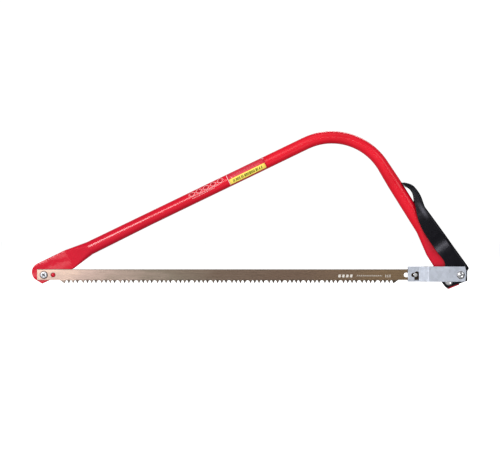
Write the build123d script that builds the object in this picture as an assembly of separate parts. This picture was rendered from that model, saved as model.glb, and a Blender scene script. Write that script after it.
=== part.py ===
"""A 21 inch bow saw with a pointed nose, an over-centre tension lever and a replaceable blade.

Side view: X runs along the blade from the nose to the handle, Z is up, Y is across the saw and
its near side is -Y. The pieces are drawn with the nose bolt at x = 0, z = 0, and moved at the
end so that the origin lies under the middle of the whole saw.
"""
from build123d import *
from math import cos, radians, sin, tan, atan2, pi
import os

# ---------------------------------------------------------------- driving dimensions, in mm
# blade
BLADE_SPAN = 533.4            # nose bolt to rear blade pin: a 21 inch blade
BLADE_THICK = 0.8
BLADE_TOP = 8.2               # above the line through the holes
BLADE_END_LOW = -7.2          # lower edge of the plain ends
GULLET_Z = -7.8
TOOTH_TIP_Z = -12.2
END_MARGIN = 9.6              # hole centre to the blade's end
HOLE_PITCH = 13.2             # end hole to second hole
BLADE_HOLE_R = 3.3
FIRST_TOOTH_X = 29.8
TOOTH_GROUPS = 18
TEETH_PER_GROUP = 4
TOOTH_PITCH = 6.1
GROUP_PITCH = 26.7            # leaves a wider gullet between groups
TOOTH_TIP_HALF = 0.2
TOOTH_ROOT_HALF = 1.6
TOOTH_ROOT_Z = -9.2           # below this the gullet's sides are straight

# frame tube
TUBE_R = 9.0
WALL = 1.5
NOSE_ANGLE = 25.8             # the upper tube's slope, in degrees
NOSE_OFFSET = 6.5             # the upper tube's axis passes this far above the nose bolt
LEG_ANGLE = -58.0             # the handle leg's slope
LEG_POINT = (509.3, 121.2)    # a point on the leg's axis
BEND_R = 86.5

# the nose, pressed flat and set over so that the blade lies in the middle plane
NOSE_FLAT_T = 3.6
NOSE_FLAT_Y = BLADE_THICK / 2 + NOSE_FLAT_T / 2
NOSE_FLAT_UP = 12.4           # edges of the flat, measured from the tube's axis
NOSE_FLAT_DOWN = 16.9
NOSE_FLAT_END = 42.6          # distances along the upper tube from the nose bolt
NOSE_OVAL_START = 76.0        # the section is a little oval here, and set a little low
NOSE_OVAL_HALF = 9.7
NOSE_OVAL_DROP = 0.6
NOSE_ROUND_START = 170.0
NOSE_TIP_R = 13.6
NOSE_TIP_CENTRE = (-3.8, 4.05)
NOSE_TIP_CORNER = (-0.6, -13.9)
NOSE_CUT_ANGLE = 232.0        # where the tip's circle gives way to the straight cut
NIB_R = 2.9
NIB_LENGTH = 1.9              # stands through the blade's second hole

# the handle leg and its pressed end; distances along the leg start where the bend ends
GRIP_HALF_W = 9.9
GRIP_HALF_T = 8.1
GRIP_START = 30.0
LEG_PRESS_START = 107.0
LEG_FLAT_START = 142.0
LEG_FLAT_T = 7.0
LEG_FLAT_FRONT = 15.0         # edges of the flat, measured from the leg's axis
LEG_FLAT_BACK = 7.3
LEG_END_FRONT = 199.6
LEG_END_BACK = 203.8
LEG_CORNER_R = 15.8           # trimmed about the lever's pivot, so that the link rivet can pass
PRESS_ARC = 84.0              # degrees in each end arc of a section that runs into a pressed flat

# lever, a stamped channel that straddles the leg
PIVOT = (580.8, -9.3)
LINK_PIN = (597.6, 0.0)
LEVER_CHEEK = 2.2
LEVER_WEB = 2.6
LEVER_ANGLE = -54.0
LEVER_START = (520.0, 132.0)  # the width is given by distance down the lever from here
LEVER_WIDTHS = [(-30, 8.2), (16, 8.2), (50, 11.0), (94, 11.0), (113, 6.0), (190, 6.0)]
LEVER_WIDTH_BLENDS = [150.0, 150.0, 68.0, 68.0]
LEVER_LOBE = [(583.0, -16.6), (578.4, -19.2), (571.7, -10.6), (571.8, -6.0)]
LEVER_LOBE_BLENDS = [4.0, 2.0, 3.5]
LEVER_WEB_END_Z = 5.0         # the back of the channel stops here and the cheeks go on
LEVER_CAVITY_X = 521.0        # the strap's last stretch is folded solid
LEVER_EDGE_R = 4.2
LEVER_BACK = [(513.4, 132.6), (520.5, 132.2), (528.5, 129.2), (536.0, 121.6), (542.4, 109.9),
              (546.4, 98.4), (550.4, 92.6)]
LEVER_BACK_END = (607.6, 14.2)
LEVER_TOE = [(610.0, 8.6), (608.3, 4.8), (608.2, -8.2), (604.2, -9.6)]
LEVER_FRONT = [(575.4, 12.8), (568.1, 27.8), (558.0, 41.2), (546.5, 58.2), (537.8, 76.0),
               (533.2, 95.0), (531.6, 107.0), (529.6, 117.0), (526.0, 122.6), (519.2, 126.6)]
STRAP_CLEARANCE = 0.3

# link
LINK_FRONT = 522.4
LINK_TOP = 12.2
LINK_LOW = -9.6
LINK_REAR = 605.6
LINK_REAR_R = 32.0
LINK_SHEET = 1.8
LINK_IN_FRONT = 1.0           # inner faces from the middle plane, at the blade and at the lever
LINK_IN_REAR = 8.4
LINK_BENDS = (539.4, 551.4)
LINK_BRIDGE = 9.0
SLOT_HALF_H = 3.2             # the seat, which the blade pin slides along as the lever opens
SLOT_FRONT = 6.0              # the seat's ends, from the pin
SLOT_BACK = 5.0
SLOT_ENTRY_W = 6.4            # the pin leaves downwards, through the entry at the seat's rear end
SLOT_CROWN = 5.0              # the entry's rounded top stands above the seat

# fasteners
PIVOT_SHANK_R = 3.0
BUSH_R = 4.2
LINK_SHANK_R = 2.75
RIVET_HEAD_R = 5.7
RIVET_RIM = 0.4
PIVOT_HEAD_H = 2.1
LINK_HEAD_H = 2.1
SPACER_R = 5.0
RUNNING = 0.08
SIDE_PLAY = 0.15
PIN_R = 2.4
PIN_COLLAR_HALF = 0.8         # a collar fills the blade's hole
PIN_HEAD_R = 2.8
PIN_HEAD_H = 1.3
SCREW_R = 2.98
SCREW_HEAD_R = 5.3
SCREW_HEAD_H = 3.2
RECESS_LENGTH = 5.2
RECESS_WIDTH = 1.1
RECESS_DEPTH = 1.7
WASHER_R = 6.0
WASHER_T = 1.2
NUT_FLATS = 10.0
NUT_H = 5.0
SCREW_END = 1.6               # the thread stands this far out of the nut

# label, a sticker round the near side of the upper tube
LABEL_START = 297.2
LABEL_LENGTH = 59.0
LABEL_ARC = (-52.0, 61.0)     # degrees up from the tube's nearest line
LABEL_GAP = 0.03
LABEL_T = 0.15

# ---------------------------------------------------------------- helpers


def side(x, z, y=0.0):
    """A point of the side view."""
    return Vector(x, y, z)


def direction(angle):
    """A unit direction in the side view."""
    return Vector(cos(radians(angle)), 0, sin(radians(angle)))


ALONG_NOSE = direction(NOSE_ANGLE)
UP_NOSE = direction(NOSE_ANGLE + 90)
ALONG_LEG = direction(LEG_ANGLE)
BACK_LEG = direction(LEG_ANGLE + 90)
ACROSS = Vector(0, 1, 0)


def nose_point(u, w=0.0, y=0.0):
    """A point u along the upper tube from the nose bolt and w above the tube's axis."""
    return ALONG_NOSE * u + UP_NOSE * (NOSE_OFFSET + w) + ACROSS * y


def bend_geometry():
    """Start, end and centre of the bend, and its turn in degrees."""
    p, q = nose_point(0), side(*LEG_POINT)
    turn = NOSE_ANGLE - LEG_ANGLE
    cross = ALONG_NOSE.X * ALONG_LEG.Z - ALONG_NOSE.Z * ALONG_LEG.X
    gap = q - p
    reach = (gap.X * ALONG_LEG.Z - gap.Z * ALONG_LEG.X) / cross
    corner = p + ALONG_NOSE * reach
    tangent = BEND_R * tan(radians(turn / 2))
    start = corner - ALONG_NOSE * tangent
    return start, corner + ALONG_LEG * tangent, start - UP_NOSE * BEND_R, turn


BEND_START, BEND_END, BEND_CENTRE, BEND_TURN = bend_geometry()


def leg_point(v, m=0.0, y=0.0):
    """A point v along the handle leg from the bend's end and m behind the leg's axis."""
    return BEND_END + ALONG_LEG * v + BACK_LEG * m + ACROSS * y


def oval(plane, centre, half_w, half_t, corner_angle):
    """Four tangent arcs; a corner angle of 90 gives a slot with straight long sides."""
    if corner_angle >= 90:
        flat = half_w - half_t
        mid = [(flat, half_t), (flat, -half_t), (-flat, -half_t), (-flat, half_t)]
    else:
        c, s = cos(radians(corner_angle)), sin(radians(corner_angle))
        small = (half_t * c - half_w * (1 - s)) / (s + c - 1)
        mid_x, mid_y = half_w - small + small * c, small * s
        mid = [(mid_x, mid_y), (mid_x, -mid_y), (-mid_x, -mid_y), (-mid_x, mid_y)]
    tops = [(half_w, 0), (0, -half_t), (-half_w, 0), (0, half_t)]
    edges = []
    for i in range(4):
        a, b, top = ((p[0] + centre[0], p[1] + centre[1]) for p in (mid[i], mid[(i + 1) % 4], tops[i]))
        straight = corner_angle >= 90 and i % 2 == 1
        edges.append(Line(a, b) if straight else ThreePointArc(a, top, b))
    return plane * make_face(edges)


def bar(x, z, y0, y1, radius):
    """A round bar across the saw, from y0 to y1."""
    return extrude(Plane((x, y0, z), x_dir=(1, 0, 0), z_dir=(0, 1, 0)) * Circle(radius), y1 - y0)


def side_plate(face, y0, y1):
    """A face drawn as (x, z) made into a plate from y0 to y1."""
    return extrude(Plane((0, y1, 0), x_dir=(1, 0, 0), z_dir=(0, -1, 0)) * face, y1 - y0)


def block(x0, x1, y0, y1, z0, z1):
    return Pos((x0 + x1) / 2, (y0 + y1) / 2, (z0 + z1) / 2) * Box(x1 - x0, y1 - y0, z1 - z0)


def mirrored(shape):
    return shape.mirror(Plane.XZ)


def domed_head(x, z, y, height, out):
    """A domed rivet head on a face at y; out is -1 on the near side and +1 on the far side."""
    rise = height - RIVET_RIM
    ball = (RIVET_HEAD_R ** 2 + rise ** 2) / (2 * rise)
    lens = Pos(x, y + out * (height - ball), z) * Sphere(ball)
    disc = bar(x, z, min(y, y + out * height), max(y, y + out * height), RIVET_HEAD_R)
    return disc & lens


# ---------------------------------------------------------------- frame tube


def nose_section(u, inset=0.0):
    """The upper tube's section: flat in the nose, slightly oval behind it, round further on."""
    plane = Plane(nose_point(u), x_dir=UP_NOSE, z_dir=ALONG_NOSE)
    if u >= NOSE_ROUND_START:
        return oval(plane, (0, 0), TUBE_R - inset, TUBE_R - inset, PRESS_ARC)
    if u >= NOSE_OVAL_START:
        return oval(plane, (-NOSE_OVAL_DROP, 0), NOSE_OVAL_HALF - inset, TUBE_R - inset, PRESS_ARC)
    half_w = (NOSE_FLAT_UP + NOSE_FLAT_DOWN) / 2
    centre = ((NOSE_FLAT_UP - NOSE_FLAT_DOWN) / 2, plane.y_dir.Y * NOSE_FLAT_Y)
    return oval(plane, centre, half_w - inset, NOSE_FLAT_T / 2 - inset, 90)


def leg_section(v, inset=0.0):
    """The handle leg's section: round at the bend, then the oval grip, then the pressed flat."""
    plane = Plane(leg_point(v), x_dir=BACK_LEG, z_dir=ALONG_LEG)
    if v <= 0:
        return oval(plane, (0, 0), TUBE_R - inset, TUBE_R - inset, 45)
    if v < LEG_PRESS_START:
        return oval(plane, (0, 0), GRIP_HALF_W - inset, GRIP_HALF_T - inset, 45)
    if v < LEG_FLAT_START:
        return oval(plane, (0, 0), GRIP_HALF_W - inset, GRIP_HALF_T - inset, PRESS_ARC)
    half_w = (LEG_FLAT_BACK + LEG_FLAT_FRONT) / 2
    centre = ((LEG_FLAT_BACK - LEG_FLAT_FRONT) / 2, 0)
    return oval(plane, centre, half_w - inset, LEG_FLAT_T / 2 - inset, 90)


def tube_body(inset, nose_length, leg_length):
    """The tube's outer form, or its hollow when inset is the wall's thickness."""
    round_face = Circle(TUBE_R - inset)
    straight_plane = Plane(nose_point(NOSE_ROUND_START), x_dir=UP_NOSE, z_dir=ALONG_NOSE)
    straight_length = (BEND_START - nose_point(NOSE_ROUND_START)).length
    bend_plane = Plane(BEND_START, x_dir=UP_NOSE, z_dir=ALONG_NOSE)
    body = loft([nose_section(NOSE_FLAT_END, inset), nose_section(NOSE_OVAL_START, inset)], ruled=True)
    body += loft([nose_section(NOSE_OVAL_START, inset), nose_section(NOSE_ROUND_START, inset)], ruled=True)
    body += extrude(straight_plane * round_face, straight_length)
    body += revolve(bend_plane * round_face, Axis(BEND_CENTRE, (0, 1, 0)), BEND_TURN)
    body += loft([leg_section(0, inset), leg_section(GRIP_START, inset)])
    body += extrude(leg_section(GRIP_START, inset), LEG_PRESS_START - GRIP_START)
    body += loft([leg_section(LEG_PRESS_START, inset), leg_section(LEG_FLAT_START, inset)], ruled=True)
    body += extrude(leg_section(LEG_FLAT_START, inset), leg_length)
    if nose_length:
        body += extrude(nose_section(NOSE_FLAT_END, inset), -nose_length)
    return body


def nose_outline():
    """The nose's rounded end with its straight cut, as a region that keeps the tube behind it."""
    cx, cz = NOSE_TIP_CENTRE
    top_angle = NOSE_ANGLE + 90
    middle = (top_angle + NOSE_CUT_ANGLE) / 2

    def rim(angle):
        return cx + NOSE_TIP_R * cos(radians(angle)), cz + NOSE_TIP_R * sin(radians(angle))

    start, end = rim(top_angle), rim(NOSE_CUT_ANGLE)
    ahead = direction(NOSE_ANGLE) * 30
    low = (NOSE_TIP_CORNER[0] + ahead.X, NOSE_TIP_CORNER[1] + ahead.Z)
    high = (start[0] + ahead.X - 4, start[1] + ahead.Z + 8)
    return make_face([
        ThreePointArc(start, rim(middle), end), Line(end, NOSE_TIP_CORNER), Line(NOSE_TIP_CORNER, low),
        Line(low, high), Line(high, start),
    ])


def frame_tube():
    body = tube_body(0, 80, 80)
    hollow = tube_body(WALL, 0, 90)
    # trim the nose
    nose_plane = Plane(nose_point(NOSE_FLAT_END - 22), x_dir=UP_NOSE, z_dir=ALONG_NOSE)
    blank = extrude(nose_plane * Rectangle(90, 40), -80)
    body -= blank - side_plate(nose_outline(), -20, 20)
    # trim the pressed end of the leg, and round its rear corner about the pivot
    a, b = leg_point(LEG_END_FRONT, -LEG_FLAT_FRONT), leg_point(LEG_END_BACK, LEG_FLAT_BACK)
    run = (b - a).normalized() * 40
    a, b = a - run, b + run
    drop = ALONG_LEG * 120
    cut = Polyline([(p.X, p.Z) for p in (a, b, b + drop, a + drop)], close=True)
    end_zone = extrude(Plane(leg_point(176), x_dir=BACK_LEG, z_dir=ALONG_LEG) * Rectangle(80, 40), 120)
    beyond = side_plate(make_face(cut), -20, 20)
    reach = bar(*PIVOT, -20, 20, LEG_CORNER_R)
    body -= beyond + (end_zone - reach)
    body -= hollow
    # holes, and the nib that locates the blade
    body -= bar(0, 0, -1, 10, SCREW_R)
    body -= bar(*PIVOT, -10, 10, BUSH_R)
    nib_ball = 3.6
    face_y = BLADE_THICK / 2
    nib = bar(HOLE_PITCH, 0, face_y - NIB_LENGTH, face_y, NIB_R)
    nib &= Pos(HOLE_PITCH, face_y - NIB_LENGTH + nib_ball, 0) * Sphere(nib_ball)
    dimple = Pos(HOLE_PITCH, face_y + NOSE_FLAT_T + 1.6, 0) * Sphere(2.8)
    return body + nib - dimple


# ---------------------------------------------------------------- blade


def blade():
    """A thin strip with grouped teeth below and two round holes at each end."""
    left, right = -END_MARGIN, BLADE_SPAN + END_MARGIN
    tips = [FIRST_TOOTH_X + g * GROUP_PITCH + t * TOOTH_PITCH
            for g in range(TOOTH_GROUPS) for t in range(TEETH_PER_GROUP)]
    edges = [Line((left, BLADE_END_LOW), (left, BLADE_TOP)), Line((left, BLADE_TOP), (right, BLADE_TOP)),
             Line((right, BLADE_TOP), (right, BLADE_END_LOW))]
    last = (tips[-1] + TOOTH_ROOT_HALF + 5.5, BLADE_END_LOW)
    edges.append(Line((right, BLADE_END_LOW), last))
    edges.append(Line(last, (tips[-1] + TOOTH_TIP_HALF, TOOTH_TIP_Z)))
    for i in reversed(range(len(tips))):
        tip = tips[i]
        edges.append(Line((tip + TOOTH_TIP_HALF, TOOTH_TIP_Z), (tip - TOOTH_TIP_HALF, TOOTH_TIP_Z)))
        if i == 0:
            start = (tip - TOOTH_ROOT_HALF - 5.5, BLADE_END_LOW)
            edges.append(Line((tip - TOOTH_TIP_HALF, TOOTH_TIP_Z), start))
            edges.append(Line(start, (left, BLADE_END_LOW)))
            continue
        near, far = (tip - TOOTH_ROOT_HALF, TOOTH_ROOT_Z), (tips[i - 1] + TOOTH_ROOT_HALF, TOOTH_ROOT_Z)
        edges.append(Line((tip - TOOTH_TIP_HALF, TOOTH_TIP_Z), near))
        edges.append(ThreePointArc(near, ((near[0] + far[0]) / 2, GULLET_Z), far))
        edges.append(Line(far, (tips[i - 1] + TOOTH_TIP_HALF, TOOTH_TIP_Z)))
    strip = side_plate(make_face(edges), -BLADE_THICK / 2, BLADE_THICK / 2)
    corners = [e for e in strip.edges().filter_by(Axis.Y)
               if e.center().X < left + 0.1 or e.center().X > right - 0.1]
    strip = fillet(corners, 1.6)
    for x in (0, HOLE_PITCH, BLADE_SPAN - HOLE_PITCH, BLADE_SPAN):
        strip -= bar(x, 0, -2, 2, BLADE_HOLE_R)
    return strip


# ---------------------------------------------------------------- lever


def lever_outline():
    start_tangent = (1, 0.15)
    back = Spline(LEVER_BACK, tangents=[start_tangent, (LEVER_BACK_END[0] - LEVER_BACK[-1][0],
                                                      LEVER_BACK_END[1] - LEVER_BACK[-1][1])])
    run = Line(LEVER_BACK[-1], LEVER_BACK_END)
    toe = Spline([LEVER_BACK_END, LEVER_TOE[0], LEVER_TOE[1]], tangents=[run % 1, (0, -1)])
    drop = Line(LEVER_TOE[1], LEVER_TOE[2])
    under = Polyline([LEVER_TOE[2], LEVER_TOE[3]] + LEVER_LOBE + [LEVER_FRONT[0]])
    rise = Line(LEVER_LOBE[-1], LEVER_FRONT[0])
    front = Spline(LEVER_FRONT, tangents=[rise % 1, (-1, 0.35)])
    tip = Line(LEVER_FRONT[-1], LEVER_BACK[0])
    face = make_face([back, run, toe, drop, under, front, tip])
    for point, radius in zip(LEVER_LOBE, LEVER_LOBE_BLENDS):
        corner = min(face.vertices(), key=lambda v: (Vector(v.X, v.Y) - Vector(*point)).length)
        face = fillet(corner, radius)
    return face, back, run


def width_plate(cheek):
    """The lever's width, less a cheek on each side, as a plate square to the side view."""
    points = [(s, h - cheek) for s, h in LEVER_WIDTHS]
    ring = Polyline(points + [(s, -h) for s, h in reversed(points)], close=True)
    face = make_face(ring)
    for (s, _), radius in zip(points[1:-1], LEVER_WIDTH_BLENDS):
        face = fillet([v for v in face.vertices() if abs(v.X - s) < 0.01], radius)
    down = direction(LEVER_ANGLE)
    origin = side(*LEVER_START) - direction(LEVER_ANGLE + 90) * 80
    return extrude(Plane(origin, x_dir=down, z_dir=direction(LEVER_ANGLE + 90)) * face, 160)


def lever_cavity(back, run):
    """The channel's inside in the side view: everything more than the web's thickness in front."""
    def inward(curve, t):
        p, d = curve @ t, curve % t
        return p.X + d.Y * LEVER_WEB, p.Y - d.X * LEVER_WEB

    inner = [inward(back, t / 10) for t in range(11)]
    inner = [p for p in inner if p[0] > LEVER_CAVITY_X + 3]
    first = (LEVER_CAVITY_X, inner[0][1] + 1.2)
    curve = Spline([first] + inner)
    end = inward(run, 1)
    foot = (end[0] + 4, LEVER_WEB_END_Z)
    return make_face([
        curve, Line(inner[-1], end), Line(end, foot), Line(foot, (640, LEVER_WEB_END_Z)),
        Line((640, LEVER_WEB_END_Z), (640, -40)), Line((640, -40), (500, -40)), Line((500, -40), (500, 60)),
        Line((500, 60), (LEVER_CAVITY_X, 100)), Line((LEVER_CAVITY_X, 100), first),
    ])


def lever():
    outline, back, run = lever_outline()
    body = side_plate(outline, -20, 20) & width_plate(0)
    rim = [e for e in body.edges() if abs(e.center().Y) > 4
           and (e.center() - side(*LEVER_BACK_END)).length < 150 and on_back(e, back, run)]
    body = fillet(rim, LEVER_EDGE_R)
    body -= side_plate(lever_cavity(back, run), -20, 20) & width_plate(LEVER_CHEEK)
    # the strap's tip rests just clear of the leg
    leg = Plane(leg_point(GRIP_START - 30), x_dir=BACK_LEG, z_dir=ALONG_LEG)
    room = oval(leg, (0, 0), GRIP_HALF_W + STRAP_CLEARANCE, GRIP_HALF_T + STRAP_CLEARANCE, 45)
    body -= extrude(room, LEG_PRESS_START - GRIP_START + 30)
    body -= bar(*PIVOT, -20, 20, PIVOT_SHANK_R)
    return body - bar(*LINK_PIN, -20, 20, LINK_SHANK_R + RUNNING)


def on_back(edge, back, run):
    """True when an edge lies on the lever's back surface."""
    for t in (0.1, 0.5, 0.9):
        p = edge @ t
        flat = Vector(p.X, p.Z)
        if min(back.distance_to(flat), run.distance_to(flat)) > 0.05:
            return False
    return True


# ---------------------------------------------------------------- link


def link_plate():
    """The near plate: it clasps the blade in front and steps out to straddle the lever."""
    y_front, y_rear = -LINK_IN_FRONT, -LINK_IN_REAR
    angle = atan2(y_front - y_rear, LINK_BENDS[1] - LINK_BENDS[0])
    k = LINK_SHEET / 2 * tan(angle / 2)
    a, b = LINK_BENDS
    outer = [(LINK_FRONT, y_front - LINK_SHEET), (a - k, y_front - LINK_SHEET),
             (b - k, y_rear - LINK_SHEET), (640, y_rear - LINK_SHEET)]
    inner = [(640, y_rear), (b + k, y_rear), (a + k, y_front), (LINK_FRONT, y_front)]
    face = make_face(Polyline(outer + inner, close=True))

    def bends(points):
        return [v for v in face.vertices() if any(abs(v.X - p[0]) + abs(v.Y - p[1]) < 0.01 for p in points)]

    face = fillet(bends([outer[1], inner[1]]), 1.0)
    face = fillet(bends([outer[2], inner[2]]), 2.8)
    plate = extrude(Plane((0, 0, LINK_LOW)) * face, LINK_TOP - LINK_LOW)
    front_edge = [e for e in plate.edges().filter_by(Axis.Z) if e.center().X < LINK_FRONT + 0.01
                  and e.center().Y < y_front - 0.5]
    plate = fillet(front_edge, 0.8)
    centre_x = LINK_REAR - LINK_REAR_R
    reach = bar(centre_x, (LINK_TOP + LINK_LOW) / 2, -20, 0, LINK_REAR_R)
    return plate - (block(centre_x, 660, -20, 0, -60, 60) - reach)


def slot_cut():
    """The near plate's J-shaped slot: a seat along the link and an entry from below at its rear end."""
    front, back = BLADE_SPAN - SLOT_FRONT, BLADE_SPAN + SLOT_BACK
    seat = SlotCenterToCenter(back - front - 2 * SLOT_HALF_H, 2 * SLOT_HALF_H)
    crown_z = SLOT_CROWN - SLOT_ENTRY_W / 2
    entry = block(back - SLOT_ENTRY_W, back, -20, 0, LINK_LOW - 5, crown_z)
    entry += bar(back - SLOT_ENTRY_W / 2, crown_z, -20, 0, SLOT_ENTRY_W / 2)
    return side_plate(Pos((front + back) / 2, 0) * seat, -20, 0) + entry


def link():
    near = link_plate()
    bridge = block(LINK_FRONT, LINK_FRONT + LINK_BRIDGE, -LINK_IN_FRONT - 0.2, LINK_IN_FRONT + 0.2,
                   LINK_TOP - LINK_SHEET, LINK_TOP)
    body = near - slot_cut() + mirrored(near) + bridge
    return body - bar(*LINK_PIN, -20, 20, LINK_SHANK_R)


# ---------------------------------------------------------------- fasteners


def pivot_rivet():
    face = LEVER_WIDTHS[-1][1]
    shank = bar(*PIVOT, -face, face, PIVOT_SHANK_R)
    return shank + domed_head(*PIVOT, -face, PIVOT_HEAD_H, -1) + domed_head(*PIVOT, face, PIVOT_HEAD_H, 1)


def pivot_bush():
    half = LEG_FLAT_T / 2 + SIDE_PLAY
    return bar(*PIVOT, -half, half, BUSH_R) - bar(*PIVOT, -half - 1, half + 1, PIVOT_SHANK_R + RUNNING)


def link_rivet():
    face = LINK_IN_REAR + LINK_SHEET
    shank = bar(*LINK_PIN, -face, face, LINK_SHANK_R)
    return shank + domed_head(*LINK_PIN, -face, LINK_HEAD_H, -1) + domed_head(*LINK_PIN, face, LINK_HEAD_H, 1)


def link_spacers():
    """One ring on each side, between a lever cheek and a link plate."""
    start = LEVER_WIDTHS[-1][1] + SIDE_PLAY
    ring = bar(*LINK_PIN, start, LINK_IN_REAR, SPACER_R) - bar(*LINK_PIN, 0, 20, LINK_SHANK_R)
    return Compound([ring, mirrored(ring)])


def blade_pin():
    """A stud riveted flush into the blade; its head stands outside the link's near plate."""
    head_face = -(LINK_IN_FRONT + LINK_SHEET + SIDE_PLAY)
    end = head_face - PIN_HEAD_H
    pin = bar(BLADE_SPAN, 0, end, 0, PIN_R) + bar(BLADE_SPAN, 0, end, head_face, PIN_HEAD_R)
    pin += bar(BLADE_SPAN, 0, -PIN_COLLAR_HALF, PIN_COLLAR_HALF, BLADE_HOLE_R)
    rim = [e for e in pin.edges().filter_by(GeomType.CIRCLE) if abs(e.center().Y - end) < 0.01]
    return fillet(rim, 0.7)


def nose_screw():
    """A pan head screw with a cross recess; its head bears on the near face of the blade."""
    under = -BLADE_THICK / 2
    far = BLADE_THICK / 2 + NOSE_FLAT_T + WASHER_T + NUT_H + SCREW_END
    head = bar(0, 0, under - SCREW_HEAD_H, under, SCREW_HEAD_R)
    rim = [e for e in head.edges().filter_by(GeomType.CIRCLE) if e.center().Y < under - 1]
    head = fillet(rim, 1.9)
    top = under - SCREW_HEAD_H
    for spin in (45, 135):
        wing = Box(RECESS_LENGTH, 2 * RECESS_DEPTH, RECESS_WIDTH).rotate(Axis.Y, spin)
        head -= Pos(0, top, 0) * wing
    screw = head + bar(0, 0, under, far, SCREW_R)
    tip = [e for e in screw.edges().filter_by(GeomType.CIRCLE) if abs(e.center().Y - far) < 0.01]
    return chamfer(tip, 0.6)


def nose_washer():
    start = BLADE_THICK / 2 + NOSE_FLAT_T
    return bar(0, 0, start, start + WASHER_T, WASHER_R) - bar(0, 0, start - 1, start + 3, SCREW_R)


def nose_nut():
    """A hexagonal nut, its corners turned off on the outer face."""
    start = BLADE_THICK / 2 + NOSE_FLAT_T + WASHER_T
    corner_r = NUT_FLATS / 2 / cos(pi / 6)
    hexagon = RegularPolygon(corner_r, 6)
    nut = side_plate(hexagon, start, start + NUT_H)
    drum = bar(0, 0, start, start + NUT_H, corner_r)
    rim = [e for e in drum.edges().filter_by(GeomType.CIRCLE) if e.center().Y > start + 1]
    nut &= chamfer(rim, 0.45, 0.9)
    return nut - bar(0, 0, start - 1, start + 9, SCREW_R)


def label():
    """A thin sticker that follows the tube."""
    inner, outer = TUBE_R + LABEL_GAP, TUBE_R + LABEL_GAP + LABEL_T
    # the plane's x points to the near side and its y up the tube's side
    plane = Plane(nose_point(LABEL_START), x_dir=ACROSS * -1, z_dir=ALONG_NOSE * -1)
    a, b = (radians(t) for t in LABEL_ARC)
    middle = (a + b) / 2

    def rim(r, t):
        return r * cos(t), r * sin(t)

    face = make_face([
        ThreePointArc(rim(inner, a), rim(inner, middle), rim(inner, b)), Line(rim(inner, b), rim(outer, b)),
        ThreePointArc(rim(outer, b), rim(outer, middle), rim(outer, a)), Line(rim(outer, a), rim(inner, a)),
    ])
    return extrude(plane * face, -LABEL_LENGTH)


# ---------------------------------------------------------------- placing and writing

PIECES = {
    "frame_tube": frame_tube,
    "label": label,
    "blade": blade,
    "nose_screw": nose_screw,
    "nose_washer": nose_washer,
    "nose_nut": nose_nut,
    "lever": lever,
    "pivot_rivet": pivot_rivet,
    "pivot_bush": pivot_bush,
    "link": link,
    "link_rivet": link_rivet,
    "link_spacers": link_spacers,
    "blade_pin": blade_pin,
}

os.makedirs("parts", exist_ok=True)
shapes = {name: make() for name, make in PIECES.items()}
boxes = [shape.bounding_box() for shape in shapes.values()]
middle_x = (min(b.min.X for b in boxes) + max(b.max.X for b in boxes)) / 2
place = Location((-middle_x, 0, -min(b.min.Z for b in boxes)))
for name, shape in shapes.items():
    export_step(shape.moved(place), f"parts/{name}.step")
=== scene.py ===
"""Looks for the 21 inch bow saw: materials, a detailed blade, the sticker and the printed marks.

Everything is in metres in the row frame. X runs along the blade to the handle, Z is up and -Y is
the near side. The saw's own drawing has its zero at the nose bolt, and at() turns that into the
row frame.
"""
import math
import random

import bmesh
import bpy
from mathutils import Matrix, Vector

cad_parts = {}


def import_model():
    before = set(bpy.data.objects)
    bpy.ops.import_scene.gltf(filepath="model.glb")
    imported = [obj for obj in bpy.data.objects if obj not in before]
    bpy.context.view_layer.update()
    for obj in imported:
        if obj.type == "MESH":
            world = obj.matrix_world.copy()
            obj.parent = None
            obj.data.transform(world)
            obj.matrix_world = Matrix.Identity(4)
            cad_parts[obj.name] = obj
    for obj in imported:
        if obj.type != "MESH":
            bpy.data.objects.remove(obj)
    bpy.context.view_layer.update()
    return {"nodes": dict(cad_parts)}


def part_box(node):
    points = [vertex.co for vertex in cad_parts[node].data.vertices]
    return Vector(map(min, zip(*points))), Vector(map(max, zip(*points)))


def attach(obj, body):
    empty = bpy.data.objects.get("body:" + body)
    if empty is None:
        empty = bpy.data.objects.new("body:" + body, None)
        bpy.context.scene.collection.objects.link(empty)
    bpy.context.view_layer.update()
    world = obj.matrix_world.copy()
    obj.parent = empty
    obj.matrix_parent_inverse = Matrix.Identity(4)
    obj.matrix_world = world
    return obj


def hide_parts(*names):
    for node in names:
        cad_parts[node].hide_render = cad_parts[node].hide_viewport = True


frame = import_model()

MM = 0.001
nodes = frame["nodes"]

# ---------------------------------------------------------------- the saw's own dimensions, in mm
BLADE_SPAN = 533.4
BLADE_HALF_T = 0.4
BLADE_TOP = 8.2
BLADE_LOW = -7.2
GULLET_Z = -7.8
TOOTH_ROOT_Z = -9.2
TOOTH_TIP_Z = -12.2
END_MARGIN = 9.6
HOLE_PITCH = 13.2
HOLE_R = 3.3
FIRST_TOOTH_X = 29.8
TOOTH_GROUPS = 18
TEETH_PER_GROUP = 4
TOOTH_PITCH = 6.1
GROUP_PITCH = 26.7
TIP_HALF = 0.2
ROOT_HALF = 1.6
TOOTH_RAMP = 7.1              # an end tooth to the plain edge beside it
TOOTH_SET = 0.32              # a tip leans this far to its side
TOOTH_GRIND = 0.33            # a ground face moves a tip this far along the blade
BACK_BEVEL = 0.12

NOSE_ANGLE = math.radians(25.8)
NOSE_OFFSET = 6.5
TUBE_R = 9.0
LINK_FRONT = 522.4
LINK_RIVET = (597.6, 0.0)
PIVOT_RIVET = (580.8, -9.3)
RIVET_R = 5.7
NOSE_FLAT_END = 42.6
DENT_PITCH = 13.7             # the shallow dents in the nose flat
DENT_START = 12.25

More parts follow.
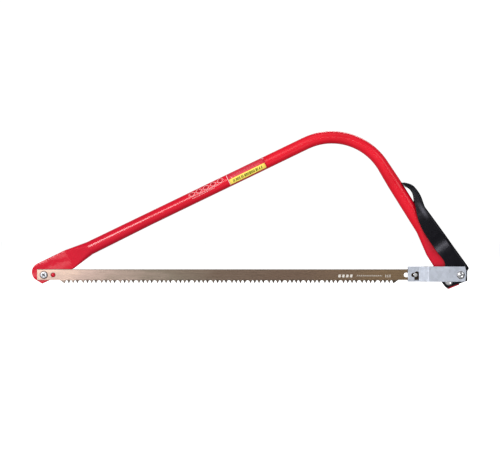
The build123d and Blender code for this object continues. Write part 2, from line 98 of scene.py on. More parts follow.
# the sticker: u runs along the upper tube from the nose bolt, arcs are degrees up from its nearest line
LABEL_START, LABEL_LENGTH = 297.2, 59.0
LABEL_END = LABEL_START + LABEL_LENGTH
LABEL_ARC = (-52, 61)
BAND_ARC = (-50, 3)
FILM_R = TUBE_R + 0.03        # the film's underside
FILM_T = 0.12
INK_T = 0.012

# the print on the paint
LOZENGE_START = 241.5
LOZENGE_PITCH = 11.2
LOZENGES = 5
PRINT_R = TUBE_R + 0.01
PRINT_T = 0.02
BAR_T = 0.01                  # the bars on the sticker, and the dashes under the lozenges

# the marks etched on the blade, near the handle
ETCH_Y = (-BLADE_HALF_T - 0.012, -BLADE_HALF_T + 0.05)
ETCH_BARS = (422.5, 5.6, 4)   # first place, pitch and count
ETCH_TICKS = (450.0, 3.0, 12)
ETCH_STROKES = (490.5, 3.0, 3)
ETCH_LINE = (449.0, 486.0)

# the nose bolt is on the blade's end, so the blade's box places the drawing
low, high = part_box("blade")
BOLT_X = low.x / MM + END_MARGIN
BOLT_Z = high.z / MM - BLADE_TOP


def at(x, y, z):
    """A point of the saw's drawing, in metres in the row frame."""
    return Vector(((x + BOLT_X) * MM, y * MM, (z + BOLT_Z) * MM))


BOLT = at(0, 0, 0)
PAINTED_HIGHLIGHT = at(543.5, 0, 92.5)      # the middle of the painted highlight streak on the lever

# directions along and square to the upper tube
ALONG = Vector((math.cos(NOSE_ANGLE), 0, math.sin(NOSE_ANGLE)))
ABOVE = Vector((-math.sin(NOSE_ANGLE), 0, math.cos(NOSE_ANGLE)))

# ---------------------------------------------------------------- material helpers


class Nodes:
    """A short way to write a material's node tree."""

    def __init__(self, name):
        self.material = bpy.data.materials.new(name)
        self.material.use_nodes = True
        self.tree = self.material.node_tree
        self.shader = self.tree.nodes["Principled BSDF"]
        self.coords = self.tree.nodes.new("ShaderNodeTexCoord").outputs["Object"]

    def set(self, **values):
        for key, value in values.items():
            self.shader.inputs[key.replace("_", " ")].default_value = value

    def link(self, output, name):
        self.tree.links.new(output, self.shader.inputs[name])

    def _plug(self, socket, value):
        if isinstance(value, bpy.types.NodeSocket):
            self.tree.links.new(value, socket)
        else:
            socket.default_value = value

    def stretch(self, scale, rotate=(0, 0, 0)):
        node = self.tree.nodes.new("ShaderNodeMapping")
        node.inputs["Scale"].default_value = scale
        node.inputs["Rotation"].default_value = rotate
        self.tree.links.new(self.coords, node.inputs["Vector"])
        return node.outputs["Vector"]

    def noise(self, scale, detail, rough, coords=None):
        node = self.tree.nodes.new("ShaderNodeTexNoise")
        node.inputs["Scale"].default_value = scale
        node.inputs["Detail"].default_value = detail
        node.inputs["Roughness"].default_value = rough
        self.tree.links.new(coords or self.coords, node.inputs["Vector"])
        return node.outputs["Fac"]

    def cells(self, scale):
        """A random colour for each cell of the surface."""
        node = self.tree.nodes.new("ShaderNodeTexVoronoi")
        node.inputs["Scale"].default_value = scale
        self.tree.links.new(self.coords, node.inputs["Vector"])
        return node.outputs["Color"]

    def math(self, operation, a, b=0.0, clamp=False):
        node = self.tree.nodes.new("ShaderNodeMath")
        node.operation = operation
        node.use_clamp = clamp
        self._plug(node.inputs[0], a)
        self._plug(node.inputs[1], b)
        return node.outputs[0]

    def vector(self, operation, a, b):
        node = self.tree.nodes.new("ShaderNodeVectorMath")
        node.operation = operation
        self._plug(node.inputs[0], a)
        self._plug(node.inputs[1], b)
        return node.outputs["Vector" if operation == "SUBTRACT" else "Value"]

    def ramp(self, value, low, high, to_low=0.0, to_high=1.0):
        """Runs from to_low at low to to_high at high, and stays level past them."""
        node = self.tree.nodes.new("ShaderNodeMapRange")
        self._plug(node.inputs["Value"], value)
        for key, number in (("From Min", low), ("From Max", high), ("To Min", to_low), ("To Max", to_high)):
            node.inputs[key].default_value = number
        return node.outputs["Result"]

    def mix(self, factor, a, b):
        node = self.tree.nodes.new("ShaderNodeMix")
        node.data_type = "RGBA"
        self._plug(node.inputs["Factor"], factor)
        colours = [socket for socket in node.inputs if socket.type == "RGBA"]
        for socket, value in zip(colours, (a, b)):
            self._plug(socket, value if isinstance(value, bpy.types.NodeSocket) else (*value, 1.0))
        return next(socket for socket in node.outputs if socket.type == "RGBA")

    def axis(self, index, vector=None):
        node = self.tree.nodes.new("ShaderNodeSeparateXYZ")
        self.tree.links.new(vector or self.coords, node.inputs[0])
        return node.outputs[index]

    def bump(self, height, strength, distance, normal=None):
        node = self.tree.nodes.new("ShaderNodeBump")
        node.inputs["Strength"].default_value = strength
        node.inputs["Distance"].default_value = distance
        self.tree.links.new(height, node.inputs["Height"])
        if normal is not None:
            self.tree.links.new(normal, node.inputs["Normal"])
        return node.outputs["Normal"]

    def measure(self, origin, way):
        """Distance from origin along the direction way, in metres."""
        return self.vector("DOT_PRODUCT", self.vector("SUBTRACT", self.coords, origin), way)

    def radius(self, centre):
        """Distance from a line across the saw through centre, in metres."""
        return self.vector("DISTANCE", self.stretch((1, 0, 1)), (centre.x, 0, centre.z))

    def nearness(self, reach):
        """Rises towards 1 where other surfaces come closer than reach."""
        node = self.tree.nodes.new("ShaderNodeAmbientOcclusion")
        node.samples = 8
        node.inputs["Distance"].default_value = reach
        return self.ramp(node.outputs["AO"], 0.95, 0.35)

    def edge(self, radius):
        """A value near 1 on sharp edges and 0 elsewhere, and the normal with its edges rounded."""
        bevel = self.tree.nodes.new("ShaderNodeBevel")
        bevel.samples = 8
        bevel.inputs["Radius"].default_value = radius
        geometry = self.tree.nodes.new("ShaderNodeNewGeometry")
        turned = self.vector("DOT_PRODUCT", bevel.outputs["Normal"], geometry.outputs["Normal"])
        return self.ramp(turned, 0.99, 0.8), bevel.outputs["Normal"]


def red_paint():
    n = Nodes("red_paint")
    along = n.measure(BOLT, ALONG)
    cloud = n.noise(14, 3, 0.6)
    deep, bright = (0.56, 0.003, 0.014), (0.67, 0.0045, 0.020)
    colour = n.mix(n.ramp(cloud, 0.35, 0.65), deep, bright)
    # painted shade: the paint is darkened towards the pressed ends, where the faces catch less light
    ends = n.math("MAXIMUM", n.ramp(along, 380 * MM, 100 * MM),
                  n.ramp(n.axis(2), at(0, 0, 62).z, at(0, 0, 34).z))
    colour = n.mix(n.math("MULTIPLY", ends, 0.75), colour, (0.475, 0.003, 0.021))
    speck = n.ramp(n.noise(2600, 1, 0.5), 0.70, 0.78)
    colour = n.mix(n.math("MULTIPLY", speck, 0.25), colour, (0.36, 0.004, 0.01))
    worn, _ = n.edge(0.0006)
    chips = n.ramp(n.noise(900, 3, 0.65), 0.56, 0.64)
    bare = n.math("MULTIPLY", worn, chips)
    colour = n.mix(n.math("MULTIPLY", bare, 0.6), colour, (0.16, 0.07, 0.06))
    # painted shade: darker where another piece comes close
    colour = n.mix(n.nearness(0.010), colour, (0.30, 0.002, 0.008))
    n.link(colour, "Base Color")
    n.link(n.ramp(n.noise(60, 3, 0.6), 0.3, 0.7, 0.215, 0.245), "Roughness")
    # the pressed end isn't quite flat
    pressed = n.ramp(along, (NOSE_FLAT_END + 0.5) * MM, (NOSE_FLAT_END - 1.5) * MM)
    slant = math.radians(18)
    rise = n.measure(BOLT, (-math.sin(slant), 0, math.cos(slant)))
    phase = n.math("SUBTRACT", rise, DENT_START * MM)
    phase = n.math("MULTIPLY", phase, 2 * math.pi / (DENT_PITCH * MM))
    phase = n.math("ADD", phase, n.ramp(n.noise(60, 2, 0.5), 0.3, 0.7, -1.1, 1.1))
    depth = n.ramp(along, 44 * MM, 24 * MM, 0.3, 1.0)
    dent = n.math("MULTIPLY", n.math("MULTIPLY", n.math("SINE", phase), depth), pressed)
    hollow = n.bump(dent, 1.0, 0.00021)
    peel = n.bump(n.noise(700, 1, 0.5), 0.01, 0.0001, hollow)
    n.link(peel, "Normal")
    n.tree.links.new(peel, n.shader.inputs["Coat Normal"])
    n.set(Coat_Weight=0.45, Coat_Roughness=0.24, Specular_IOR_Level=0.05)
    return n.material


def blade_steel():
    n = Nodes("blade_steel")
    streak = n.noise(1.0, 3, 0.6, n.stretch((22, 3000, 2600)))
    cloud = n.noise(9, 3, 0.55, n.stretch((1, 1, 4)))
    # painted reflection: the colour runs from light cream at the nose to dark bronze towards the handle
    reflection_run = n.ramp(n.axis(0), low.x, high.x)
    tone = n.math("ADD", reflection_run, n.ramp(cloud, 0.3, 0.7, -0.09, 0.09), clamp=True)
    ramp = n.tree.nodes.new("ShaderNodeValToRGB")
    tones = ((0.0, (0.78, 0.58, 0.45)), (0.14, (0.435, 0.325, 0.282)), (0.29, (0.222, 0.184, 0.142)),
             (0.47, (0.178, 0.128, 0.095)), (0.68, (0.182, 0.122, 0.087)), (0.90, (0.228, 0.152, 0.086)))
    while len(ramp.color_ramp.elements) < len(tones):
        ramp.color_ramp.elements.new(0.5)
    for element, (place, colour) in zip(ramp.color_ramp.elements, tones):
        element.position = place
        element.color = (*colour, 1)
    n.tree.links.new(tone, ramp.inputs["Fac"])
    colour = n.mix(n.ramp(streak, 0.35, 0.75, 0.0, 0.22), ramp.outputs["Color"], (0.14, 0.11, 0.09))
    # darker along the toothed edge and along the back
    z = n.axis(2)
    teeth = n.ramp(z, at(0, 0, GULLET_Z + 1.8).z, at(0, 0, GULLET_Z - 0.6).z)
    colour = n.mix(n.math("MULTIPLY", teeth, 0.85), colour, (0.085, 0.072, 0.062))
    back = n.ramp(z, at(0, 0, BLADE_TOP - 1.3).z, at(0, 0, BLADE_TOP - 0.3).z)
    colour = n.mix(n.math("MULTIPLY", back, 0.75), colour, (0.09, 0.075, 0.062))
    # painted shade round the screw's head and in the nib's hole
    for x, inner, outer in ((0, 5.4, 6.3), (HOLE_PITCH, HOLE_R, 4.0)):
        ring = n.ramp(n.radius(at(x, 0, 0)), outer * MM, inner * MM, 0.0, 0.75)
        colour = n.mix(ring, colour, (0.10, 0.07, 0.06))
    # painted shade on the blade's end inside the link
    link_shade = n.ramp(n.axis(0), at(LINK_FRONT + 0.5, 0, 0).x, at(LINK_FRONT + 5, 0, 0).x)
    colour = n.mix(n.math("MULTIPLY", link_shade, 0.9), colour, (0.018, 0.014, 0.012))
    n.link(colour, "Base Color")
    n.link(n.ramp(streak, 0.3, 0.7, 0.24, 0.34), "Roughness")
    n.link(n.bump(streak, 0.08, 0.00005), "Normal")
    n.set(Metallic=0.9, Specular_IOR_Level=0.3)
    return n.material


def plated(name, dark, light, rough, spangle=260, soften=0.00025, shade=None):
    """Zinc or polished steel: faint spangle, fine scratches, softened edges, painted shade where shade
    says.
    """
    n = Nodes(name)
    grain = n.axis(0, n.cells(spangle))
    cloud = n.noise(60, 3, 0.6)
    tone = n.math("ADD", n.math("MULTIPLY", grain, 0.3), n.math("MULTIPLY", cloud, 0.7))
    colour = n.mix(n.ramp(tone, 0.25, 0.75), dark, light)
    if shade:
        # painted shade: darkened where shade says
        colour = n.mix(shade(n), colour, (0.012, 0.012, 0.013))
    n.link(colour, "Base Color")
    scratch = n.noise(1.0, 2, 0.6, n.stretch((300, 300, 5200), rotate=(0.0, 0.5, 0.0)))
    n.link(n.ramp(n.math("ADD", n.math("MULTIPLY", cloud, 0.5), n.math("MULTIPLY", scratch, 0.5)),
                  0.3, 0.7, rough - 0.06, rough + 0.08), "Roughness")
    _, soft = n.edge(soften)
    n.link(n.bump(scratch, 0.08, 0.00004, soft), "Normal")
    n.set(Metallic=1.0)
    return n.material


def rim_of(centre, radius):
    """Painted shade round the foot of a domed head."""
    x, z = centre

    def rim_shade(n):
        return n.ramp(n.radius(at(x, 0, z)), (radius - 0.9) * MM, radius * MM, 0.0, 0.85)

    return rim_shade


def screw_shade(n):
    """Painted shade in the screw's recess and round its head."""
    recess = n.ramp(n.axis(1), at(0, -3.3, 0).y, at(0, -2.6, 0).y)
    inner = n.ramp(n.radius(BOLT), 3.4 * MM, 2.6 * MM)
    foot = n.ramp(n.radius(BOLT), 4.6 * MM, 5.3 * MM)
    return n.math("MAXIMUM", n.math("MULTIPLY", recess, inner), n.math("MULTIPLY", foot, 0.8), clamp=True)


def pin_shade(n):
    """Painted shade on the pin's neck, behind its head."""
    return n.ramp(n.axis(1), at(0, -3.2, 0).y, at(0, -2.5, 0).y, 0.0, 0.9)


def black_coat():
    n = Nodes("black_coat")
    cloud = n.noise(30, 3, 0.6)
    colour = n.mix(n.ramp(cloud, 0.3, 0.7), (0.0018, 0.0017, 0.0026), (0.0040, 0.0038, 0.0056))
    worn, soft = n.edge(0.0005)
    chips = n.ramp(n.noise(700, 3, 0.65), 0.54, 0.64)
    colour = n.mix(n.math("MULTIPLY", n.math("MULTIPLY", worn, chips), 0.5), colour, (0.12, 0.12, 0.13))
    # a painted highlight: a lighter streak where the cheek narrows to the strap
    slope = math.radians(59)
    lengthways = n.measure(PAINTED_HIGHLIGHT, (math.cos(slope), 0, -math.sin(slope)))
    sideways = n.measure(PAINTED_HIGHLIGHT, (math.sin(slope), 0, math.cos(slope)))
    streak = n.math("MULTIPLY", n.ramp(n.math("ABSOLUTE", lengthways), 15 * MM, 3 * MM),
                    n.ramp(n.math("ABSOLUTE", sideways), 4.2 * MM, 0.8 * MM))
    colour = n.mix(streak, colour, (0.060, 0.060, 0.072))
    n.link(colour, "Base Color")
    n.link(n.ramp(n.noise(120, 3, 0.6), 0.3, 0.7, 0.19, 0.25), "Roughness")
    n.link(n.bump(n.noise(1800, 2, 0.6), 0.05, 0.0001, soft), "Normal")
    n.set(Specular_IOR_Level=0.17, Specular_Tint=(0.88, 0.86, 1.0, 1.0))
    return n.material


def film(name, colour, shade):
    """Printed ink on glossy film, with a faint mottling of its own scale."""
    n = Nodes(name)
    n.link(n.mix(n.ramp(n.noise(700, 3, 0.6), 0.35, 0.65), shade, colour), "Base Color")
    n.link(n.ramp(n.noise(350, 2, 0.5), 0.3, 0.7, 0.22, 0.34), "Roughness")
    n.link(n.bump(n.noise(1600, 1, 0.5), 0.05, 0.00006), "Normal")
    n.set(Coat_Weight=0.3, Coat_Roughness=0.08, Specular_IOR_Level=0.2)
    return n.material


def etched():
    n = Nodes("etched_mark")
    n.link(n.mix(n.noise(3000, 2, 0.6), (0.50, 0.47, 0.43), (0.66, 0.63, 0.58)), "Base Color")
    n.link(n.ramp(n.noise(900, 2, 0.5), 0.3, 0.7, 0.5, 0.7), "Roughness")
    n.set(Metallic=0.3)
    return n.material


RED = red_paint()
STEEL = blade_steel()
ZINC = plated("link_zinc", (0.40, 0.43, 0.49), (0.53, 0.565, 0.64), 0.40, soften=0.0008)
BRIGHT = plated("zinc_bright", (0.60, 0.61, 0.62), (0.80, 0.80, 0.80), 0.24, 420)
LINK_STUD = plated("rivet_steel", (0.38, 0.38, 0.40), (0.48, 0.48, 0.49), 0.20, 500,
                   shade=rim_of(LINK_RIVET, RIVET_R))
PIVOT_STUD = plated("pivot_steel", (0.54, 0.54, 0.56), (0.66, 0.66, 0.67), 0.22, 500,
                    shade=rim_of(PIVOT_RIVET, RIVET_R))
SCREW = plated("screw_zinc", (0.44, 0.455, 0.48), (0.60, 0.61, 0.64), 0.26, 420, shade=screw_shade)
PIN = plated("pin_steel", (0.60, 0.61, 0.62), (0.80, 0.80, 0.80), 0.22, 420, shade=pin_shade)
BUSH = plated("bush_steel", (0.40, 0.40, 0.41), (0.56, 0.56, 0.57), 0.34)
BLACK = black_coat()
FILM_RED = film("film_red", (0.60, 0.024, 0.048), (0.53, 0.016, 0.036))
FILM_FAINT = film("film_faint", (0.60, 0.075, 0.10), (0.54, 0.055, 0.075))
FILM_DARK = film("film_dark", (0.40, 0.008, 0.018), (0.33, 0.006, 0.014))
FILM_YELLOW = film("film_yellow", (1.0, 0.80, 0.14), (0.96, 0.72, 0.12))
FILM_GREEN = film("film_green", (0.20, 0.22, 0.012), (0.14, 0.17, 0.010))
FILM_WHITE = film("film_white", (0.90, 0.58, 0.58), (0.84, 0.48, 0.49))
MARK = etched()

for node, material in (
    ("frame_tube", RED), ("lever", BLACK), ("link", ZINC), ("link_rivet", LINK_STUD),
    ("pivot_rivet", PIVOT_STUD), ("nose_screw", SCREW), ("nose_washer", BRIGHT), ("nose_nut", BRIGHT),
    ("blade_pin", PIN), ("pivot_bush", BUSH), ("link_spacers", BUSH),
):
    mesh = nodes[node].data
    mesh.materials.clear()
    mesh.materials.append(material)

# ---------------------------------------------------------------- mesh helpers


def add(name, data):
    obj = bpy.data.objects.new(name, data)
    bpy.context.scene.collection.objects.link(obj)
    return obj


def closed_mesh(name, bm):
    bmesh.ops.recalc_face_normals(bm, faces=bm.faces)
    mesh = bpy.data.meshes.new(name)
    bm.to_mesh(mesh)
    bm.free()
    return mesh


def new_piece(name, mesh, materials, slot, body, *replaced):
    obj = add(name, mesh)
    for item in materials:
        mesh.materials.append(item)
    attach(obj, body)
    if replaced:
        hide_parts(*replaced)


# ---------------------------------------------------------------- blade


ROOT_SET = 0.25               # shares of the tip's set and grinding that reach a tooth's root
ROOT_GRIND = 0.5
GULLET_STEPS = 10
END_STEPS = 12


def tooth_tips():
    return [FIRST_TOOTH_X + g * GROUP_PITCH + t * TOOTH_PITCH
            for g in range(TOOTH_GROUPS) for t in range(TEETH_PER_GROUP)]


def blade_profile():
    """The lower edge from left to right: x, z, the share of the set, the share of the grinding, and
    the way in which a ground face moves along the blade.
    """
    tips = tooth_tips()
    left, right = -END_MARGIN, BLADE_SPAN + END_MARGIN
    plain = [left, left + 0.8] + [left + 4 + i * 2.2 for i in range(11)]
    points = [(x, BLADE_LOW, 0, 0, 0) for x in plain]
    points.append((tips[0] - TOOTH_RAMP, BLADE_LOW, 0, 0, 0))
    for i, tip in enumerate(tips):
        way = 1 if i % 2 else -1
        points.append((tip - TIP_HALF, TOOTH_TIP_Z, way, 1, -1))
        points.append((tip + TIP_HALF, TOOTH_TIP_Z, way, 1, 1))
        if i + 1 == len(tips):
            break
        start, stop = tip + ROOT_HALF, tips[i + 1] - ROOT_HALF
        points.append((start, TOOTH_ROOT_Z, way * ROOT_SET, ROOT_GRIND, 1))
        for k in range(1, GULLET_STEPS):
            angle = math.pi * (1 - k / GULLET_STEPS)
            x = (start + stop) / 2 + (stop - start) / 2 * math.cos(angle)
            z = TOOTH_ROOT_Z + (GULLET_Z - TOOTH_ROOT_Z) * math.sin(angle)
            points.append((x, z, 0, 0, 0))
        points.append((stop, TOOTH_ROOT_Z, -way * ROOT_SET, ROOT_GRIND, -1))
    last = tips[-1] + TOOTH_RAMP
    points += [(last + (right - last) * k / END_STEPS, BLADE_LOW, 0, 0, 0) for k in range(END_STEPS + 1)]
    return points


def build_blade():
    """Columns from the toothed edge up to the back, near and far, with set and ground teeth."""
    bm = bmesh.new()
    profile = blade_profile()
    rows = (-6.4, 0.0, BLADE_TOP - BACK_BEVEL, BLADE_TOP)
    near, far = [], []
    for x, z, bend, grind, hand in profile:
        shift = TOOTH_SET * bend
        # a tooth bent towards one side is ground on the other
        cut_near = TOOTH_GRIND * grind * hand if bend > 0 else 0.0
        cut_far = TOOTH_GRIND * grind * hand if bend < 0 else 0.0
        near_column = [bm.verts.new(at(x - cut_near, -BLADE_HALF_T + shift, z))]
        far_column = [bm.verts.new(at(x - cut_far, BLADE_HALF_T + shift, z))]
        for row in rows:
            inset = BACK_BEVEL if row == BLADE_TOP else 0.0
            near_column.append(bm.verts.new(at(x, -BLADE_HALF_T + inset, row)))
            far_column.append(bm.verts.new(at(x, BLADE_HALF_T - inset, row)))
        near.append(near_column)
        far.append(far_column)
    height = len(rows) + 1
    for i in range(len(profile) - 1):
        for k in range(height - 1):
            bm.faces.new((near[i][k], near[i + 1][k], near[i + 1][k + 1], near[i][k + 1]))
            bm.faces.new((far[i][k + 1], far[i + 1][k + 1], far[i + 1][k], far[i][k]))
        bm.faces.new((near[i][-1], near[i + 1][-1], far[i + 1][-1], far[i][-1]))
        bm.faces.new((near[i + 1][0], near[i][0], far[i][0], far[i + 1][0]))
    for column in (0, -1):
        ring = near[column] + list(reversed(far[column]))
        bm.faces.new(ring if column == -1 else list(reversed(ring)))
    return closed_mesh("saw_blade", bm)


def hole_cutter(centre):
    bm = bmesh.new()
    turn = Matrix.Translation(centre) @ Matrix.Rotation(math.pi / 2, 4, "X")
    bmesh.ops.create_cone(bm, cap_ends=True, segments=48, radius1=HOLE_R * MM, radius2=HOLE_R * MM,
                          depth=4 * MM, matrix=turn)
    return add("cutter", closed_mesh("cutter", bm))


def drilled_blade():
    raw = add("saw_blade_raw", build_blade())
    cutters = [hole_cutter(at(x, 0, 0)) for x in (0, HOLE_PITCH, BLADE_SPAN - HOLE_PITCH, BLADE_SPAN)]
    for cutter in cutters:
        cut = raw.modifiers.new("hole", "BOOLEAN")
        cut.operation = "DIFFERENCE"
        cut.solver = "EXACT"
        cut.object = cutter
    bpy.context.view_layer.update()
    graph = bpy.context.evaluated_depsgraph_get()
    mesh = bpy.data.meshes.new_from_object(raw.evaluated_get(graph))
    for scrap in [raw, *cutters]:
        bpy.data.objects.remove(scrap)
    return mesh


new_piece("saw_blade", drilled_blade(), [STEEL], "blade_steel", "frame", "blade")

# ---------------------------------------------------------------- sticker and print


def on_tube(u, angle, radius):
    """A point on the upper tube: u along it from the nose bolt, angle up from the nearest line."""
    w = NOSE_OFFSET + radius * math.sin(angle)
    x = u * math.cos(NOSE_ANGLE) - w * math.sin(NOSE_ANGLE)
    z = u * math.sin(NOSE_ANGLE) + w * math.cos(NOSE_ANGLE)
    return at(x, -radius * math.cos(angle), z)


def tube_patch(bm, span, arc, radius, thick, index=0, lean=0.0):
    """A raised patch on the tube: span is its ends along the tube and arc its angles, in degrees."""
    (u0, u1), (a0, a1) = span, arc
    steps = max(1, math.ceil((a1 - a0) / 5))
    runs = max(1, math.ceil((u1 - u0) / 8))
    grid = []
    for i in range(runs + 1):
        row = []
        for k in range(steps + 1):
            share = k / steps
            angle = math.radians(a0 + (a1 - a0) * share)
            u = u0 + (u1 - u0) * i / runs + lean * share
            row.append([bm.verts.new(on_tube(u, angle, r)) for r in (radius + thick, radius)])
        grid.append(row)

    def face(*corners):
        made = bm.faces.new(corners)
        made.material_index = index
        made.smooth = True

    for i in range(runs):
        for k in range(steps):
            for s in (0, 1):
                face(grid[i][k][s], grid[i + 1][k][s], grid[i + 1][k + 1][s], grid[i][k + 1][s])
    for i in range(runs):
        for k in (0, steps):
            face(grid[i][k][0], grid[i + 1][k][0], grid[i + 1][k][1], grid[i][k][1])
    for k in range(steps):
        for i in (0, runs):
            face(grid[i][k][0], grid[i][k + 1][0], grid[i][k + 1][1], grid[i][k][1])


def sticker():
    """A red film with a white line at the end nearer the nose, and a plain yellow band."""
    bm = bmesh.new()
    ink = FILM_R + FILM_T
    tube_patch(bm, (LABEL_START, LABEL_END), LABEL_ARC, FILM_R, FILM_T)
    tube_patch(bm, (LABEL_START, LABEL_START + 0.9), LABEL_ARC, ink, INK_T, 1)
    tube_patch(bm, (LABEL_START + 1.1, LABEL_END - 1.2), BAND_ARC, ink, INK_T, 2)
    return closed_mesh("sticker", bm)


def bars(bm, draw, span, arc, radius, lengths, gaps, index=0, lean=0.0):
    """A row of plain bars of mixed length along the tube."""
    u, last = span
    while u < last:
        length = draw.choice(lengths)
        tube_patch(bm, (u, min(u + length, last)), arc, radius, BAR_T, index, lean)
        u += length + draw.choice(gaps)


def sticker_bars():
    """Plain bars in place of the wording on the sticker: dark on the yellow band, faint on the red."""
    bm = bmesh.new()
    draw = random.Random(4)
    ink = FILM_R + FILM_T
    bars(bm, draw, (LABEL_START + 6.0, LABEL_END - 5.5), (-35, -8), ink + INK_T,
         (1.2, 1.7, 2.3), (0.45, 0.45, 1.5), index=0, lean=0.5)
    bars(bm, draw, (LABEL_START + 9.0, LABEL_END - 9.0), (20, 36), ink,
         (1.6, 2.4, 3.4), (0.9, 1.4), index=1, lean=0.5)
    return closed_mesh("sticker_bars", bm)


def white_print():
    """A row of plain lozenges with dark centres, and two dashed lines under it, printed on the paint."""
    bm = bmesh.new()
    bottom, waist, top = 8, 33, 66
    half, stroke = 5.0, 0.85
    for i in range(LOZENGES):
        u = LOZENGE_START + i * LOZENGE_PITCH
        for start, arc, lean in ((u, (bottom, waist), -half), (u, (bottom, waist), half),
                                 (u - half, (waist, top), half), (u + half, (waist, top), -half)):
            tube_patch(bm, (start, start + stroke), arc, PRINT_R, PRINT_T, lean=lean)
        tube_patch(bm, (u - 1.3, u + 1.5), (waist - 12, waist + 14), PRINT_R, PRINT_T, 1)
    draw = random.Random(11)
    for angle, span in ((2, (252, 284)), (-9, (240, 276))):
        bars(bm, draw, span, (angle, angle + 4.5), PRINT_R, (0.8, 1.4, 2.0), (0.7, 1.1))
    return closed_mesh("white_print", bm)


new_piece("sticker", sticker(), [FILM_RED, FILM_WHITE, FILM_YELLOW], "label_film", "frame", "label")
new_piece("sticker_bars", sticker_bars(), [FILM_GREEN, FILM_FAINT], "label_film", "frame")
new_piece("white_print", white_print(), [FILM_WHITE, FILM_DARK], "label_film", "frame")


def etched_bar(bm, x0, x1, z0, z1, lean=0.0):
    """A bar on the blade's near face, with its top moved along by lean."""
    verts = [bm.verts.new(at(x + shift, y, z))
             for x in (x0, x1) for y in ETCH_Y for z, shift in ((z0, 0.0), (z1, lean))]
    for quad in ((0, 1, 3, 2), (4, 6, 7, 5), (0, 4, 5, 1), (2, 3, 7, 6), (0, 2, 6, 4), (1, 5, 7, 3)):
        bm.faces.new([verts[k] for k in quad])


def etching():
    """Plain etched bars and a ruled line on the near face, in place of the wording there."""
    bm = bmesh.new()

    def row(places, width, z0, z1, lean=0.0):
        first, pitch, count = places
        for i in range(count):
            x = first + i * pitch
            etched_bar(bm, x, x + width, z0, z1, lean)

    row(ETCH_BARS, 3.3, -3.6, 0.5, 0.8)
    etched_bar(bm, *ETCH_LINE, -1.7, -1.3)
    row(ETCH_TICKS, 0.6, -1.3, -0.1)
    row(ETCH_STROKES, 0.9, -3.4, 0.4)
    return closed_mesh("blade_etching", bm)


new_piece("blade_etching", etching(), [MARK], "blade_steel", "frame")

# ---------------------------------------------------------------- floor, light and camera

VIEW_WIDTH = 0.718            # width of the view at the blade's plane
LENS, SENSOR = 135.0, 36.0
EYE = at(296.0, 0, 63.06)
CENTRE = at(296.4, 0, 143.6)  # a point in the upper tube, which most lamps face
KEY_RAISED = math.radians(29.5)
KEY_DISTANCE = 2.4


def floor():
    bm = bmesh.new()
    bmesh.ops.create_grid(bm, x_segments=2, y_segments=2, size=12.0)
    mesh = bpy.data.meshes.new("floor")
    bm.to_mesh(mesh)
    bm.free()
    obj = add("floor", mesh)
    obj.location.z = -0.0002
    # a white floor would light the saw from below as much as the lamps do from above
    obj.visible_diffuse = False
    obj.visible_glossy = False
    obj.visible_shadow = False
    n = Nodes("floor_white")
    n.link(n.mix(n.noise(6, 2, 0.5), (0.78, 0.78, 0.78), (0.80, 0.80, 0.80)), "Base Color")
    n.set(Roughness=0.9, Specular_IOR_Level=0.0, Emission_Color=(1, 1, 1, 1), Emission_Strength=0.72)
    mesh.materials.append(n.material)


def area_light(name, place, target, width, height, radiance, colour=(1, 1, 1)):
    """A rectangular lamp facing target, with its long side level."""
    light = bpy.data.lights.new(name, "AREA")
    light.shape = "RECTANGLE"
    light.size, light.size_y = width, height
    light.energy = radiance * width * height * math.pi
    light.color = colour
    obj = add(name, light)
    obj.location = place
    obj.rotation_mode = "QUATERNION"
    obj.rotation_quaternion = (Vector(target) - Vector(place)).to_track_quat("-Z", "Y")
    obj.visible_camera = False


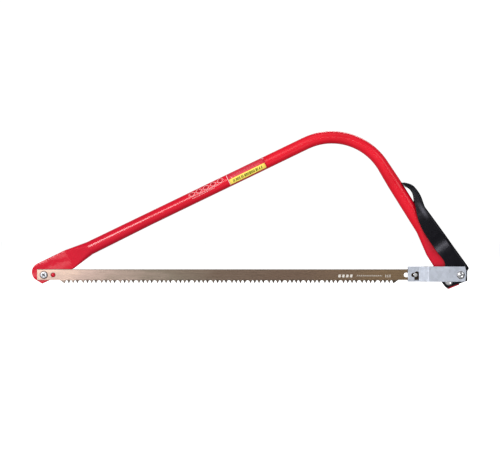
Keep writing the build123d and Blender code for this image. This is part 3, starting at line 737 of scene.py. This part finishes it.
def world():
    """White behind the saw for the camera, and a dim room for its surfaces to reflect. The room is
    darkest level with the saw, and brightest towards the camera's side.
    """
    sky = bpy.data.worlds.new("studio")
    bpy.context.scene.world = sky
    sky.use_nodes = True
    # the room is dim and changes slowly, so every light sample can go to the lamps
    sky.cycles.sampling_method = "NONE"
    tree = sky.node_tree
    tree.nodes.clear()
    out = tree.nodes.new("ShaderNodeOutputWorld")
    mix = tree.nodes.new("ShaderNodeMixShader")
    path = tree.nodes.new("ShaderNodeLightPath")
    seen = tree.nodes.new("ShaderNodeBackground")
    seen.inputs["Color"].default_value = (1, 1, 1, 1)
    seen.inputs["Strength"].default_value = 1.05
    room = tree.nodes.new("ShaderNodeBackground")
    coords = tree.nodes.new("ShaderNodeTexCoord")
    split = tree.nodes.new("ShaderNodeSeparateXYZ")
    link = tree.links.new
    link(coords.outputs["Generated"], split.inputs[0])

    def stops(value, levels):
        """A grey level that follows value, which runs from -1 to 1, through (place, level) stops."""
        fit = tree.nodes.new("ShaderNodeMapRange")
        fit.inputs["From Min"].default_value = -1
        link(value, fit.inputs["Value"])
        blend = tree.nodes.new("ShaderNodeValToRGB")
        while len(blend.color_ramp.elements) < len(levels):
            blend.color_ramp.elements.new(0.5)
        for element, (place, level) in zip(blend.color_ramp.elements, levels):
            element.position = (place + 1) / 2
            element.color = (level, level, level, 1)
        link(fit.outputs["Result"], blend.inputs["Fac"])
        return blend.outputs["Color"]

    height = stops(split.outputs["Z"], (
        (-1.0, 0.42), (-0.6, 0.80), (-0.3, 0.85), (-0.06, 0.45), (0.08, 0.45), (0.3, 0.70), (1.0, 0.62)))
    depth = stops(split.outputs["Y"], ((-1.0, 0.92), (-0.6, 0.80), (0.0, 0.45), (1.0, 0.62)))
    side = stops(split.outputs["X"], ((-1.0, 0.65), (-0.15, 1.15), (0.15, 0.85), (1.0, 0.8)))
    level = depth
    for other in (height, side):
        product = tree.nodes.new("ShaderNodeVectorMath")
        product.operation = "MULTIPLY"
        link(level, product.inputs[0])
        link(other, product.inputs[1])
        level = product.outputs[0]
    link(level, room.inputs["Color"])
    link(path.outputs["Is Camera Ray"], mix.inputs[0])
    link(room.outputs[0], mix.inputs[1])
    link(seen.outputs[0], mix.inputs[2])
    link(mix.outputs[0], out.inputs[0])


def camera():
    data = bpy.data.cameras.new("camera")
    data.lens, data.sensor_width = LENS, SENSOR
    distance = LENS / SENSOR * VIEW_WIDTH
    obj = add("camera", data)
    obj.location = EYE - Vector((0, distance, 0))
    obj.rotation_euler = (math.pi / 2, 0, 0)
    data.clip_start, data.clip_end = 0.05, 60
    bpy.context.scene.camera = obj


def lamps():
    # the key's reflection is the thin highlight along the upper tube
    outward = ABOVE * math.sin(KEY_RAISED) - Vector((0, math.cos(KEY_RAISED), 0))
    key_place = CENTRE + KEY_DISTANCE * outward + ALONG * -0.41
    area_light("key", key_place, CENTRE + ALONG * -0.18, 0.70, 0.35, 40)
    area_light("left_card", (-1.15, -2.7, 0.46), (-1.15, 0.0, 0.46), 1.5, 1.0, 3.3, (1.0, 0.96, 0.95))
    area_light("left_side", (-2.2, -1.1, 0.5), CENTRE, 1.2, 1.2, 1.0)
    area_light("joggle_card", (-1.75, -1.28, -0.02), at(545, 0, 0), 0.6, 0.5, 3.0)
    area_light("right_box", (1.9, -2.0, 1.3), CENTRE, 0.9, 1.2, 2.8)
    area_light("lever_strip", (0.33, -2.7, 0.42), CENTRE, 0.35, 0.25, 6)
    area_light("low_right", (0.92, -1.35, -0.62), at(568, 0, 30), 0.3, 0.3, 14)
    area_light("overhead", (0.1, -0.9, 2.3), CENTRE, 1.8, 1.0, 1.0)
    area_light("back", (0.6, 1.7, 1.9), CENTRE, 1.6, 0.8, 6.0)


floor()
world()
camera()
lamps()
bpy.context.scene.view_settings.view_transform = "Standard"
